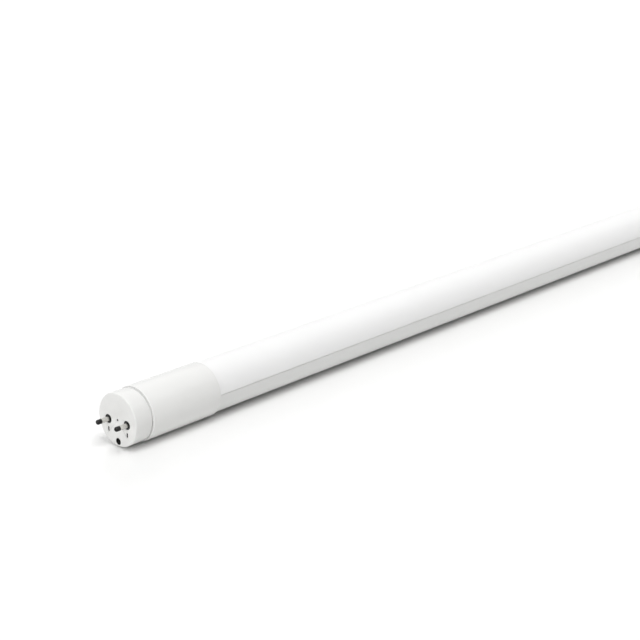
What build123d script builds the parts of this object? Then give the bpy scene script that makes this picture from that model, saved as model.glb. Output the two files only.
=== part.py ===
from build123d import *
import math
import os

os.makedirs("parts", exist_ok=True)

# A straight two-pin LED tube, lying on its two end sleeves with the lit side up.
# X runs along the tube, Z is up, and z = 0 is the surface that it lies on.
# Each end piece is drawn in an end frame: x = 0 on the end face and x growing into the tube,
# y = z = 0 on the tube's axis. Sections are drawn looking along the tube, with (y, z) as (u, v).

# Lengths along the tube
face_to_face = 589.8
cap_length = 9.6
groove_width = 0.8

# The tube's outside: the diffuser's radius, and how far the other pieces stand in or out from it
diffuser_radius = 13.0
sleeve_wall = 0.4
heat_sink_step = 0.3
cap_step = 0.05

# Gaps left between pieces that fit each other
slide_gap = 0.05
fit_gap = 0.1
hook_gap = 0.15

# Diffuser: upper half of the tube, with a hooked foot along each edge
diffuser_wall = 1.2
foot_height = 1.0
leg_thickness = 0.8
toe_length = 0.8
toe_thickness = 0.75
lip_rounding = 0.45

# Heat sink: lower half of the tube, one extrusion
heat_sink_wall = 1.1
seam_gap = 0.12
edge_rounding = 0.25
plate_thickness = 1.2
rail_thickness = 0.8
rail_lip_thickness = 0.7
rail_lip_drop = 0.55
port_inset = 1.05
port_wall = 1.0
port_slot = 1.2

# Boards and what lies under them
board_thickness = 1.0
film_thickness = 0.2
film_margin = 0.3
board_lip_reach = 0.8
board_lip_thickness = 0.6
board_top_drop = 2.0
board_end_gap = 2.1
sleeve_cover = 0.9
driver_board_setback = 1.6
driver_board_margin = 2.0

# Light-emitting chips
chip_length = 2.8
chip_width = 3.5
chip_height = 0.7
chip_pitch = 13.0
chip_end_margin = 5.0
chip_window_radius = 1.1
chip_window_depth = 0.15

# End caps
cap_face_thickness = 2.2
cap_wall = 1.4
cap_edge_rounding = 0.6
cap_rear_rounding = 0.3
vent_width = 0.9
vent_height = 2.4
vent_drop = 5.8
face_dimple_radius = 0.6
face_dimple_depth = 0.25
neck_depth = 0.85
neck_overlap = 2.0
plug_length = 6.0
plug_wall = 1.2
plug_upper_angle = 25.0
plug_lower_top = 29.0
plug_lower_bottom = 66.0

# Contact pins and their bushes
pin_spacing = 12.7
pin_drop = 0.9
pin_radius = 1.175
pin_root_radius = 1.35
pin_length = 7.0
pin_tip_rounding = 0.85
pin_dimple_radius = 0.35
pin_dimple_depth = 0.5
pin_collar_radius = 1.9
pin_collar_thickness = 0.8
pin_tail = 8.0
pin_tail_radius = 1.0
pin_bore_depth = 2.0
bush_radius = 2.1
bush_recess = 0.35
bush_flange_radius = 2.8
bush_flange_thickness = 1.0

# Cap screws
screw_radius = 1.1
screw_length = 19.0
screw_head_radius = 1.5
screw_head_height = 1.5
screw_head_rounding = 0.35
screw_recess = 0.9
screw_cross_width = 0.5
screw_cross_length = 1.8
screw_cross_depth = 0.8
screw_hole_gap = 0.15

# Sleeves
sleeve_front_rounding = 0.3
sleeve_rear_rounding = 0.15

# Driver parts: sizes are (x, y, z), and they stand in rows along the two edges of their board
part_gap = 1.0
row_gap = 0.9
part_rounding = 0.3
first_part_setback = 2.0
fuse_radius, fuse_height = 1.8, 8.5
varistor_thickness = 3.2
choke_height, choke_flange, choke_waist = 8.0, 1.2, 0.7
driver_chip_size = (4.8, 3.9, 1.5)
film_capacitor_length, film_capacitor_height = 4.5, 8.0
bulk_capacitor_radius, bulk_capacitor_length = 4.0, 12.0
resistor_size, resistor_spacing, resistor_count = (3.2, 1.6, 0.6), 0.4, 3
rectifier_size = (3.6, 4.0, 2.2)
diode_length, diode_height = 2.6, 2.2
core_length, core_side_gap, core_headroom, winding_thickness = 11.0, 1.3, 0.7, 1.5

# Leads
lead_radius = 0.55
input_pad_setback = 2.6
input_pad_inset = 3.2
lead_run = 1.0
lead_bend = 1.3
lead_rise = 0.2
link_reach = 6.0
link_bend = 3.0
jumper_radius = 0.45
jumper_offset = 3.2
jumper_setback = 0.8
jumper_height = 1.8
jumper_bend = 1.0

# Places worked out from the sizes
sleeve_radius = diffuser_radius + slide_gap + sleeve_wall
heat_sink_radius = diffuser_radius - heat_sink_step
cap_radius = diffuser_radius - cap_step
axis_height = sleeve_radius
profile_start = cap_length + groove_width
profile_length = face_to_face - 2 * profile_start
diffuser_bore = diffuser_radius - diffuser_wall
heat_sink_bore = heat_sink_radius - heat_sink_wall

# Heights, measured from the tube's axis
board_top = -board_top_drop
board_bottom = board_top - board_thickness
plate_top = board_bottom - film_thickness
plate_bottom = plate_top - plate_thickness
rail_top = -rail_lip_drop
rail_lip_bottom = rail_top - rail_lip_thickness
toe_top = rail_lip_bottom - hook_gap
toe_bottom = toe_top - toe_thickness

# Distances out from the tube's upright middle plane, from the heat sink's wall inwards
leg_outer = math.sqrt(heat_sink_bore**2 - toe_bottom**2) - fit_gap
leg_inner = leg_outer - leg_thickness
rail_lip_tip = leg_inner - hook_gap
toe_tip = leg_inner - toe_length
rail_outer = toe_tip - hook_gap
rail_inner = rail_outer - rail_thickness
board_edge = rail_inner - fit_gap
part_edge = rail_inner - board_lip_reach - fit_gap
port_radius = screw_radius + slide_gap
port_depth = heat_sink_bore - port_inset
pin_offset = pin_spacing / 2

# Widths of the driver parts that fill what their neighbours across the board leave
board_room = 2 * part_edge
choke_radius = (board_room - 2 * bulk_capacitor_radius - row_gap) / 2
varistor_radius = choke_radius
film_capacitor_width = board_room - 2 * fuse_radius - rectifier_size[1] - 2 * row_gap
resistors_width = resistor_count * (resistor_size[1] + resistor_spacing) - resistor_spacing
diode_width = board_room - driver_chip_size[1] - resistors_width - 2 * row_gap
core_width = board_room - 2 * core_side_gap
core_leg = (core_width / 2 - winding_thickness - 2 * fit_gap) / 2
core_height = math.sqrt(diffuser_bore**2 - (core_width / 2) ** 2) - core_headroom - board_top

# The driver board's rows, from the end face inwards
driver_board_start = profile_start + driver_board_setback
input_pad_x = driver_board_start + input_pad_setback
input_pad_y = part_edge - input_pad_inset
first_part = input_pad_x + first_part_setback
fuse_x = first_part + fuse_radius
varistor_x = fuse_x + fuse_radius + part_gap + varistor_thickness / 2
choke_x = varistor_x + varistor_thickness / 2 + part_gap + choke_radius
driver_chip_x = choke_x + choke_radius + part_gap + driver_chip_size[0] / 2
film_capacitor_x = first_part + film_capacitor_length / 2
bulk_capacitor_x = film_capacitor_x + (film_capacitor_length + bulk_capacitor_length) / 2 + part_gap
resistor_x = bulk_capacitor_x + (bulk_capacitor_length + resistor_size[0]) / 2 + part_gap
row_end = max(driver_chip_x + driver_chip_size[0] / 2, resistor_x + resistor_size[0] / 2)
transformer_x = row_end + part_gap + core_length / 2
driver_board_end = transformer_x + core_length / 2 + driver_board_margin

# The sleeve hides the driver, and the LED board fills the slot between the two hidden ends
sleeve_length = driver_board_end + sleeve_cover - profile_start
led_board_start = driver_board_end + board_end_gap
led_board_length = face_to_face - 2 * led_board_start

near_end = Pos(-face_to_face / 2, 0, axis_height)
far_end = Pos(face_to_face / 2, 0, axis_height) * Rot(0, 0, 180)


def save(shape, name):
    """Write one node to its own file."""
    export_step(shape, f"parts/{name}.step")


def along(section, start, length):
    """A section in (y, z) carried along X from start."""
    return extrude(Plane.YZ.offset(start) * section, amount=length)


def block(y_low, y_high, z_low, z_high):
    """A rectangle in a section, given by its sides."""
    middle = Pos((y_low + y_high) / 2, (z_low + z_high) / 2)
    return middle * Rectangle(y_high - y_low, z_high - z_low)


def both_sides(section):
    """A section with its mirror image across the tube's upright plane."""
    return section + mirror(section, about=Plane.YZ)


def arc_band(outer, inner, first, last):
    """Part of a ring in a section, between two angles in degrees from +Y."""
    outside = CenterArc((0, 0), outer, first, last - first)
    inside = CenterArc((0, 0), inner, first, last - first)
    ends = [Line(outside @ 0, inside @ 0), Line(outside @ 1, inside @ 1)]
    return make_face([outside, inside] + ends)


def rod(radius, start, length, y=0.0, z=0.0):
    """A round bar along X."""
    return along(Pos(y, z) * Circle(radius), start, length)


def on_board(x, y, size):
    """A moulded block standing on the driver board."""
    body = Pos(x, y, board_top + size[2] / 2) * Box(*size)
    return fillet(body.edges().filter_by(Axis.Z), part_rounding)


def upright(x, y, radius, height):
    """A round body standing on the driver board."""
    return Pos(x, y, board_top + height / 2) * Cylinder(radius, height)


def lead(points, bends, radius):
    """A wire along straight runs joined by tangent arcs."""
    path = FilletPolyline(*points, radius=bends)
    section = Plane(origin=path @ 0, z_dir=path % 0) * Circle(radius)
    return sweep(section, path=path)


def corner_rounded(section, y, z, radius):
    """A section with the corners at (y, z) and (-y, z) rounded."""
    corners = [v for v in section.vertices() if math.dist((abs(v.X), v.Y), (y, z)) < 0.05]
    return fillet(corners, radius)


def make_diffuser():
    upper_half = block(-diffuser_radius, diffuser_radius, 0, diffuser_radius)
    shell = (Circle(diffuser_radius) - Circle(diffuser_bore)) & upper_half
    wall_middle = diffuser_radius - diffuser_wall / 2
    web = block(leg_inner, wall_middle, 0, foot_height)
    leg = block(leg_inner, leg_outer, toe_bottom, foot_height)
    toe = block(toe_tip, leg_outer, toe_bottom, toe_top)
    section = shell + both_sides(web + leg + toe)
    section = corner_rounded(section, diffuser_radius, 0, lip_rounding)
    return near_end * along(section, profile_start, profile_length)


def make_heat_sink():
    edge = -seam_gap
    lower_half = block(-heat_sink_radius, heat_sink_radius, -heat_sink_radius, edge)
    shell = (Circle(heat_sink_radius) - Circle(heat_sink_bore)) & lower_half
    plate = block(-heat_sink_radius, heat_sink_radius, plate_bottom, plate_top)
    plate = plate & Circle(heat_sink_radius - heat_sink_wall / 2)
    rail = block(rail_inner, rail_outer, plate_top, rail_top)
    hook_lip = block(rail_outer, rail_lip_tip, rail_lip_bottom, rail_top)
    lip_low = board_top + fit_gap
    board_lip = block(rail_inner - board_lip_reach, rail_inner, lip_low, lip_low + board_lip_thickness)
    port_outside = Pos(0, -port_depth) * Circle(port_radius + port_wall)
    port_hole = Pos(0, -port_depth) * Circle(port_radius)
    port_opening = block(-port_slot / 2, port_slot / 2, -port_depth, -port_depth + port_radius + port_wall)
    wall_middle = heat_sink_radius - heat_sink_wall / 2
    web = block(-port_wall, port_wall, -wall_middle, -port_depth)
    port = (port_outside & Circle(wall_middle)) - port_opening
    section = shell + plate + both_sides(rail + hook_lip + board_lip) + port + web - port_hole
    corner_y = math.sqrt(heat_sink_radius**2 - edge**2)
    section = corner_rounded(section, corner_y, edge, edge_rounding)
    return near_end * along(section, profile_start, profile_length)


def make_cap():
    body = rod(cap_radius, 0, cap_length)
    body = fillet(body.edges().sort_by(Axis.X)[0], cap_edge_rounding)
    body = fillet(body.edges().sort_by(Axis.X)[-1], cap_rear_rounding)
    cap_bore = cap_radius - cap_wall
    body -= rod(cap_bore, cap_face_thickness, cap_length)
    plug_radius = diffuser_bore - fit_gap
    plug_bore = plug_radius - plug_wall
    neck_start = cap_length - neck_overlap
    neck = Circle(cap_radius - neck_depth) - Circle(plug_bore)
    body += along(neck, neck_start, profile_start - neck_start)
    plug_start = neck_start
    plug_reach = profile_start + plug_length - plug_start
    upper_plug = arc_band(plug_radius, plug_bore, plug_upper_angle, 180 - plug_upper_angle)
    lower_radius = heat_sink_bore - fit_gap
    lower_plug = arc_band(lower_radius, lower_radius - plug_wall, -plug_lower_bottom, -plug_lower_top)
    body += along(upper_plug + both_sides(lower_plug), plug_start, plug_reach)
    boss_radius = port_radius + port_wall
    boss = (Pos(0, -port_depth) * Circle(boss_radius)) & Circle(cap_radius - neck_depth)
    body += along(boss, cap_face_thickness / 2, profile_start - cap_face_thickness / 2)
    seat_depth = screw_recess + screw_head_height
    body -= rod(screw_head_radius + screw_hole_gap, -1, seat_depth + 1, z=-port_depth)
    body -= rod(screw_radius + screw_hole_gap, 0, profile_start + 1, z=-port_depth)
    body -= rod(face_dimple_radius, -1, face_dimple_depth + 1)
    vent = SlotOverall(vent_height, vent_width, rotation=90)
    for side in (-1, 1):
        y = side * pin_offset
        body -= rod(bush_radius + slide_gap, -1, cap_face_thickness + 2, y, -pin_drop)
        body -= along(Pos(y, -vent_drop) * vent, -1, cap_face_thickness + 2)
    return body


def make_bush(side):
    y = side * pin_offset
    bush = rod(bush_radius, bush_recess, cap_face_thickness - bush_recess, y, -pin_drop)
    bush += rod(bush_flange_radius, cap_face_thickness, bush_flange_thickness, y, -pin_drop)
    return bush - rod(pin_root_radius + slide_gap / 2, -1, pin_tail, y, -pin_drop)


def make_pin(side):
    y = side * pin_offset
    pin = rod(pin_radius, -pin_length, pin_length, y, -pin_drop)
    pin = fillet(pin.edges().sort_by(Axis.X)[0], pin_tip_rounding)
    pin += rod(pin_tail_radius, 0, pin_tail, y, -pin_drop)
    collar_start = cap_face_thickness + bush_flange_thickness
    pin += rod(pin_root_radius, 0, collar_start, y, -pin_drop)
    pin += rod(pin_collar_radius, collar_start, pin_collar_thickness, y, -pin_drop)
    pin -= rod(pin_dimple_radius, -pin_length - 1, pin_dimple_depth + 1, y, -pin_drop)
    return pin - rod(lead_radius + fit_gap, pin_tail - pin_bore_depth, pin_bore_depth + 1, y, -pin_drop)


def make_screw():
    seat = screw_recess + screw_head_height
    head = rod(screw_head_radius, screw_recess, screw_head_height, z=-port_depth)
    head = fillet(head.edges().sort_by(Axis.X)[0], screw_head_rounding)
    screw = head + rod(screw_radius, seat - slide_gap, screw_length + slide_gap, z=-port_depth)
    for wide, high in ((screw_cross_width, screw_cross_length), (screw_cross_length, screw_cross_width)):
        slot = Pos(0, -port_depth) * Rectangle(wide, high)
        screw -= along(slot, screw_recess - 1, screw_cross_depth + 1)
    return screw


def make_sleeve():
    upper = block(-sleeve_radius, sleeve_radius, -seam_gap / 2, sleeve_radius)
    upper_bore = Circle(diffuser_radius + slide_gap) & upper
    lower_bore = Circle(heat_sink_radius + slide_gap)
    sleeve = rod(sleeve_radius, profile_start, sleeve_length)
    sleeve = fillet(sleeve.edges().sort_by(Axis.X)[0], sleeve_front_rounding)
    sleeve = fillet(sleeve.edges().sort_by(Axis.X)[-1], sleeve_rear_rounding)
    return sleeve - along(upper_bore + lower_bore, profile_start - 1, sleeve_length + 2)


def make_board(start, length):
    return along(block(-board_edge, board_edge, board_bottom, board_top), start, length)


def make_film(start, length):
    half = board_edge - film_margin
    return along(block(-half, half, plate_top, board_bottom), start, length)


def make_led_chips():
    body = Box(chip_length, chip_width, chip_height)
    body = fillet(body.edges().filter_by(Axis.Z), chip_height / 4)
    window = Pos(0, 0, chip_height / 2) * Cylinder(chip_window_radius, 2 * chip_window_depth)
    chip = Pos(0, 0, axis_height + board_top + chip_height / 2) * (body - window)
    gaps = int((led_board_length - 2 * chip_end_margin - chip_length) // chip_pitch)
    first = -gaps * chip_pitch / 2
    return Compound([Pos(first + i * chip_pitch, 0, 0) * chip for i in range(gaps + 1)])


def make_input_lead(side):
    y = side * pin_offset
    start = (pin_tail - pin_bore_depth, y, -pin_drop)
    out = (pin_tail + lead_run, y, -pin_drop)
    over = (input_pad_x, side * input_pad_y, lead_rise)
    pad = (input_pad_x, side * input_pad_y, board_top)
    return near_end * lead([start, out, over, pad], [lead_bend, lead_bend], lead_radius)


def make_far_link():
    start = pin_tail - pin_bore_depth
    turn = pin_tail + link_reach
    out = [(start, pin_offset, -pin_drop), (turn, pin_offset, -pin_drop)]
    back = [(turn, -pin_offset, -pin_drop), (start, -pin_offset, -pin_drop)]
    return far_end * lead(out + back, link_bend, lead_radius)


def make_jumper(side):
    start = driver_board_end - jumper_setback
    end = led_board_start + jumper_setback
    y = side * jumper_offset
    top = board_top + jumper_height
    points = [(start, y, board_top), (start, y, top), (end, y, top), (end, y, board_top)]
    return near_end * lead(points, jumper_bend, jumper_radius)


def make_fuse():
    return upright(fuse_x, fuse_radius - part_edge, fuse_radius, fuse_height)


def make_film_capacitor():
    size = (film_capacitor_length, film_capacitor_width, film_capacitor_height)
    return on_board(film_capacitor_x, part_edge - film_capacitor_width / 2, size)


def make_rectifier():
    y = 2 * fuse_radius - part_edge + row_gap + rectifier_size[1] / 2
    return on_board(first_part + rectifier_size[0] / 2, y, rectifier_size)


def make_varistor():
    disc = along(Circle(varistor_radius), -varistor_thickness / 2, varistor_thickness)
    disc = fillet(disc.edges(), varistor_thickness / 3)
    return Pos(varistor_x, varistor_radius - part_edge, board_top + varistor_radius) * disc


def make_choke():
    y = choke_radius - part_edge
    middle = choke_height - 2 * choke_flange
    lower = upright(choke_x, y, choke_radius, choke_flange)
    waist = Pos(0, 0, choke_flange) * upright(choke_x, y, choke_radius - choke_waist, middle)
    upper = Pos(0, 0, choke_height - choke_flange) * lower
    return lower + waist + upper


def make_bulk_capacitor():
    can = along(Circle(bulk_capacitor_radius), -bulk_capacitor_length / 2, bulk_capacitor_length)
    can = fillet(can.edges(), part_rounding)
    y = part_edge - bulk_capacitor_radius
    return Pos(bulk_capacitor_x, y, board_top + bulk_capacitor_radius) * can


def make_driver_chip():
    return on_board(driver_chip_x, driver_chip_size[1] / 2 - part_edge, driver_chip_size)


def make_resistors():
    step = resistor_size[1] + resistor_spacing
    first = part_edge - resistor_size[1] / 2
    return Compound([on_board(resistor_x, first - i * step, resistor_size) for i in range(resistor_count)])


def make_diode():
    y = driver_chip_size[1] - part_edge + row_gap + diode_width / 2
    return on_board(resistor_x, y, (diode_length, diode_width, diode_height))


def make_transformer_core():
    core = on_board(transformer_x, 0, (core_length, core_width, core_height))
    window = Box(2 * core_length, core_width - 2 * core_leg, core_height - 2 * core_leg)
    core -= Pos(transformer_x, 0, board_top + core_height / 2) * window
    return core + upright(transformer_x, 0, core_leg, core_height)


def make_transformer_winding():
    height = core_height - 2 * core_leg - 2 * fit_gap
    bore = core_leg + fit_gap
    ring = Cylinder(bore + winding_thickness, height) - Cylinder(bore, 2 * height)
    return Pos(transformer_x, 0, board_top + core_height / 2) * ring


# Outer pieces
save(make_diffuser(), "diffuser")
save(make_heat_sink(), "heat_sink")
for end_name, end in (("near", near_end), ("far", far_end)):
    save(end * make_cap(), f"{end_name}_cap")
    save(end * make_sleeve(), f"{end_name}_sleeve")
    save(end * make_screw(), f"{end_name}_cap_screw")
    for side_name, side in (("left", 1), ("right", -1)):
        save(end * make_pin(side), f"{end_name}_pin_{side_name}")
        save(end * make_bush(side), f"{end_name}_pin_bush_{side_name}")

# Lighting
save(near_end * make_board(led_board_start, led_board_length), "led_board")
save(near_end * make_film(led_board_start, led_board_length), "thermal_tape")
save(make_led_chips(), "led_chips")

# Driver
driver_length = driver_board_end - driver_board_start
save(near_end * make_board(driver_board_start, driver_length), "driver_board")
save(near_end * make_film(driver_board_start, driver_length), "driver_film")
save(near_end * make_fuse(), "fuse")
save(near_end * make_film_capacitor(), "film_capacitor")
save(near_end * make_rectifier(), "bridge_rectifier")
save(near_end * make_varistor(), "varistor")
save(near_end * make_choke(), "filter_choke")
save(near_end * make_bulk_capacitor(), "bulk_capacitor")
save(near_end * make_driver_chip(), "driver_chip")
save(near_end * make_diode(), "output_diode")
save(near_end * make_resistors(), "resistors")
save(near_end * make_transformer_core(), "transformer_core")
save(near_end * make_transformer_winding(), "transformer_winding")

# Leads
for side_name, side in (("left", 1), ("right", -1)):
    save(make_input_lead(side), f"input_lead_{side_name}")
    save(make_jumper(side), f"led_jumper_{side_name}")
save(make_far_link(), "far_link")
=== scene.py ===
"""A straight white LED tube with a two-pin cap at each end, lying on a pale studio floor.

Lengths are in metres. Each end piece is drawn in an end frame, with x = 0 on the cap's face, x growing
into the tube and the tube's axis at y = z = 0, and is then carried to the near or the far end.
"""

import math

import bmesh
import bpy
from mathutils import Matrix, Vector


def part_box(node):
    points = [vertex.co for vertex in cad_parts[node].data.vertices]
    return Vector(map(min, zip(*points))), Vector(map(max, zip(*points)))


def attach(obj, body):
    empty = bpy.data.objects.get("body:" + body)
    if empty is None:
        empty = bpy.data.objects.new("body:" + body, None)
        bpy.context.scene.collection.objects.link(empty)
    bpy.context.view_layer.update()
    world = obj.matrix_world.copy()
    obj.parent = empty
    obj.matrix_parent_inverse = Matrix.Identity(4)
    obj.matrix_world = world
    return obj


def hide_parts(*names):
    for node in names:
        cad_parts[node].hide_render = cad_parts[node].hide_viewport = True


bl_info = {
    "name": "Straight LED Tube",
    "version": (1, 0, 0),
    "blender": (4, 5, 0),
    "location": "View3D > Sidebar > LED Tube",
    "description": "Builds a two-pin LED tube, its finishes and a small studio around it",
    "category": "Object",
}

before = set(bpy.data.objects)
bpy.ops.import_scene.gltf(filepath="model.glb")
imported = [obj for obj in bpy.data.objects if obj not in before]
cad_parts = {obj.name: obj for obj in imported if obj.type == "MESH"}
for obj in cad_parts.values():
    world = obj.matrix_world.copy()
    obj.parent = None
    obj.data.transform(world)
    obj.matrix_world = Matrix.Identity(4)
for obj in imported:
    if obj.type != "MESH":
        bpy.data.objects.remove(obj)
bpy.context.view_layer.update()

MM = 0.001
BODY = "root"
TOUCH = 1e-6
SHARP_ANGLE = math.radians(32)
ROUND_STEPS = 96
SMALL_ROUND_STEPS = 40
CORNER_STEPS = 6

# Planes that outlines are drawn in: a section across the tube, and a profile to turn about X
SECTION = (Vector((0, 1, 0)), Vector((0, 0, 1)))
PROFILE = (Vector((1, 0, 0)), Vector((0, 0, 1)))


def node_middle(node):
    low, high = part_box(node)
    return (low + high) / 2


def node_size(node):
    low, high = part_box(node)
    return high - low


def height_drop(node):
    """How far a node's middle lies under the tube's axis."""
    return axis_height - node_middle(node).z


near_face_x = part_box("near_cap")[0].x
far_face_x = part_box("far_cap")[1].x
axis_height = node_middle("near_sleeve").z
profile_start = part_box("diffuser")[0].x - near_face_x
profile_length = node_size("diffuser").x


def distance(name, description, value):
    """A length that a user can change, in metres."""
    return bpy.props.FloatProperty(
        name=name,
        description=description,
        default=value,
        min=0.0,
        precision=6,
        subtype="DISTANCE",
        unit="LENGTH",
    )


def colour(name, description, value):
    """A colour that a user can change."""
    return bpy.props.FloatVectorProperty(
        name=name, description=description, default=value, size=3, min=0.0, max=1.0, subtype="COLOR"
    )


def amount(name, description, value, highest=10.0):
    """A plain number that a user can change."""
    return bpy.props.FloatProperty(name=name, description=description, default=value, min=0.0, max=highest)


def angle(name, description, degrees):
    """An angle that a user can change."""
    return bpy.props.FloatProperty(
        name=name, description=description, default=math.radians(degrees), subtype="ANGLE", unit="ROTATION"
    )


class LedTubeProfileSizes(bpy.types.PropertyGroup):
    """Sizes of the two long extrusions and of the sleeves over their ends"""

    diffuser_radius: distance("Diffuser radius", "Outside of the upper half", node_size("diffuser").y / 2)
    diffuser_wall: distance("Diffuser wall", "Thickness of the translucent shell", 1.2 * MM)
    lip_rounding: distance("Lip rounding", "Rounding of the diffuser's lower edges", 0.45 * MM)
    heat_sink_radius: distance("Heat sink radius", "Outside of the lower half", node_size("heat_sink").y / 2)
    heat_sink_wall: distance("Heat sink wall", "Thickness of the metal shell", 1.1 * MM)
    seam_gap: distance("Seam gap", "Dark line between the two halves", 0.12 * MM)
    edge_rounding: distance("Edge rounding", "Rounding of the heat sink's upper edges", 0.25 * MM)
    sleeve_radius: distance("Sleeve radius", "Outside of the end sleeves", node_size("near_sleeve").z / 2)
    sleeve_length: distance("Sleeve length", "Length of each end sleeve", node_size("near_sleeve").x)
    sleeve_front_rounding: distance("Sleeve front rounding", "Edge next to the cap", 0.3 * MM)
    sleeve_rear_rounding: distance("Sleeve rear rounding", "Edge next to the diffuser", 0.15 * MM)


class LedTubeCapSizes(bpy.types.PropertyGroup):
    """Sizes of the end caps and of what is fastened in them"""

    cap_radius: distance("Cap radius", "Outside of the cap", node_size("near_cap").y / 2)
    cap_length: distance("Cap length", "From the face to the groove", 9.6 * MM)
    cap_wall: distance("Cap wall", "Thickness of the cap's side", 1.4 * MM)
    face_thickness: distance("Face thickness", "Thickness of the cap's face", 2.2 * MM)
    face_rounding: distance("Face rounding", "Rounding round the face", 0.6 * MM)
    rear_rounding: distance("Rear rounding", "Rounding at the groove", 0.3 * MM)
    pin_radius: distance("Pin radius", "Radius of the contact pins", 1.175 * MM)
    pin_length: distance("Pin length", "Free length of the pins", near_face_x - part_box("near_pin_left")[0].x)
    pin_rounding: distance("Pin rounding", "Rounding of the pins' tips", 0.85 * MM)
    pin_offset: distance("Pin offset", "From the tube's axis to a pin", node_middle("near_pin_left").y)
    pin_drop: distance("Pin drop", "From the axis down to the pins", height_drop("near_pin_left"))
    screw_drop: distance("Screw drop", "From the axis down to the screw", height_drop("near_cap_screw"))


class LedTubeColours(bpy.types.PropertyGroup):
    """Colours of the pieces that show"""

    moulding: colour("Mouldings", "Caps and sleeves", (0.86, 0.86, 0.845))
    # Painted shade: near black painted on the caps' white plastic within the face's holes and slots, where it
    # lies in shade
    opening_painted_shade: colour("Openings", "Inside of the openings in the caps' faces", (0.02, 0.02, 0.02))
    diffuser: colour("Diffuser", "Translucent half", (0.94, 0.94, 0.935))
    coating: colour("Coating", "Painted heat sink", (0.83, 0.83, 0.82))
    pin: colour("Pins", "Plated contact pins", (0.66, 0.65, 0.62))
    # Painted reflection and shade: near black painted on the pins' ends for the dark surroundings they mirror,
    # and on their roots in the bushes' recesses
    pin_painted_dark: colour("Pin tips", "Darkened ends of the pins", (0.015, 0.015, 0.015))
    bush: colour("Bushes", "Insulating bushes", (0.012, 0.012, 0.012))
    screw: colour("Screws", "Cap screws", (0.07, 0.07, 0.07))
    floor: colour("Floor", "Studio floor as it is seen", (0.985, 0.985, 0.98))
    floor_bounce: colour("Floor bounce", "Light that the floor throws back", (0.88, 0.88, 0.875))


class LedTubeStudio(bpy.types.PropertyGroup):
    """Camera, lamps and floor"""

    camera_back: distance("Camera back", "From the near cap's face back along the tube", 443.13 * MM)
    camera_side: distance("Camera side", "From the tube's axis to the side", 522.24 * MM)
    camera_rise: distance("Camera rise", "Above the tube's axis", 274.64 * MM)
    camera_pitch: angle("Camera pitch", "How far the camera looks down", 18.45)
    camera_yaw: angle("Camera yaw", "From the tube's direction to the camera's", 41.92)
    camera_lens: amount("Camera lens", "Focal length in millimetres on a 36 mm sensor", 90.0, 300.0)
    floor_size: distance("Floor size", "Side of the square floor", 24.0)
    overhead_light: amount("Overhead light", "Irradiance of the wide lamp overhead", 1.55)
    overhead_softness: angle("Overhead softness", "Angle that the lamp overhead covers", 120.0)
    key_light: amount("Key light", "Irradiance of the lamp above the camera's side", 1.25)
    key_softness: angle("Key softness", "Angle that the key lamp covers", 30.0)
    end_light: amount("End light", "Irradiance of the lamp at the near end", 0.92)
    end_softness: angle("End softness", "Angle that the lamp at the near end covers", 20.0)
    ambient: amount("Ambient light", "Light from all round", 0.06)


class Outline:
    """A wire drawn in a flat plane, one corner or arc at a time."""

    def __init__(self, mesh, plane, start):
        self.mesh = mesh
        self.across, self.up = plane
        self.axis = self.across.cross(self.up)
        self.first = self.tip = mesh.verts.new(self.place(start))

    def place(self, point):
        return self.across * point[0] + self.up * point[1]

    def line(self, *points):
        for point in points:
            self.tip = bmesh.ops.extrude_vert_indiv(self.mesh, verts=[self.tip])["verts"][0]
            self.tip.co = self.place(point)
        return self

    def arc(self, centre, degrees, steps=CORNER_STEPS):
        """Carry the wire round a centre, with positive angles turning from the first axis to the second."""
        made = bmesh.ops.spin(
            self.mesh,
            geom=[self.tip],
            cent=self.place(centre),
            axis=self.axis,
            angle=math.radians(degrees),
            steps=steps,
            use_merge=False,
        )
        self.tip = next(item for item in made["geom_last"] if isinstance(item, bmesh.types.BMVert))
        return self

    def close(self):
        bmesh.ops.weld_verts(self.mesh, targetmap={self.tip: self.first})


def section_pen(mesh, start):
    return Outline(mesh, SECTION, start)


def profile_pen(mesh, start):
    return Outline(mesh, PROFILE, start)


def revolve(mesh, height=0.0, side=0.0, steps=ROUND_STEPS):
    """Turn everything in the mesh once about an axis along X."""
    bmesh.ops.translate(mesh, verts=mesh.verts, vec=(0, side, height))
    bmesh.ops.spin(
        mesh,
        geom=mesh.verts[:] + mesh.edges[:],
        cent=(0, side, height),
        axis=(1, 0, 0),
        angle=math.tau,
        steps=steps,
        use_merge=True,
    )
    bmesh.ops.remove_doubles(mesh, verts=mesh.verts, dist=TOUCH)


def edges_at(mesh, x):
    """The edges that lie in the plane at x."""
    return [edge for edge in mesh.edges if all(abs(vert.co.x - x) < TOUCH for vert in edge.verts)]


def fill_open(mesh, x):
    """Fill the open loops that lie in the plane at x, holes and all."""
    edges = [edge for edge in edges_at(mesh, x) if len(edge.link_faces) < 2]
    bmesh.ops.triangle_fill(mesh, edges=edges, use_beauty=True, use_dissolve=False, normal=(1, 0, 0))


def extrude_wires(mesh, start, length, filled=True):
    """Carry wires drawn across the tube along X, and fill both ends."""
    wires = mesh.edges[:]
    bmesh.ops.translate(mesh, verts=mesh.verts, vec=(start, 0, 0))
    made = bmesh.ops.extrude_edge_only(mesh, edges=wires)["geom"]
    moved = [item for item in made if isinstance(item, bmesh.types.BMVert)]
    bmesh.ops.translate(mesh, verts=moved, vec=(length, 0, 0))
    if filled:
        fill_open(mesh, start)
        fill_open(mesh, start + length)


def merge_in(mesh, other):
    """Add another bmesh's faces to this one, and free the other."""
    passing = mesh_data(other, "passing")
    mesh.from_mesh(passing)
    bpy.data.meshes.remove(passing)


def near_end(mesh):
    bmesh.ops.translate(mesh, verts=mesh.verts, vec=(near_face_x, 0, axis_height))


def far_end(mesh):
    bmesh.ops.rotate(mesh, verts=mesh.verts, cent=(0, 0, 0), matrix=Matrix.Rotation(math.pi, 3, "Z"))
    bmesh.ops.translate(mesh, verts=mesh.verts, vec=(far_face_x, 0, axis_height))


ENDS = (("near", near_end), ("far", far_end))


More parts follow.
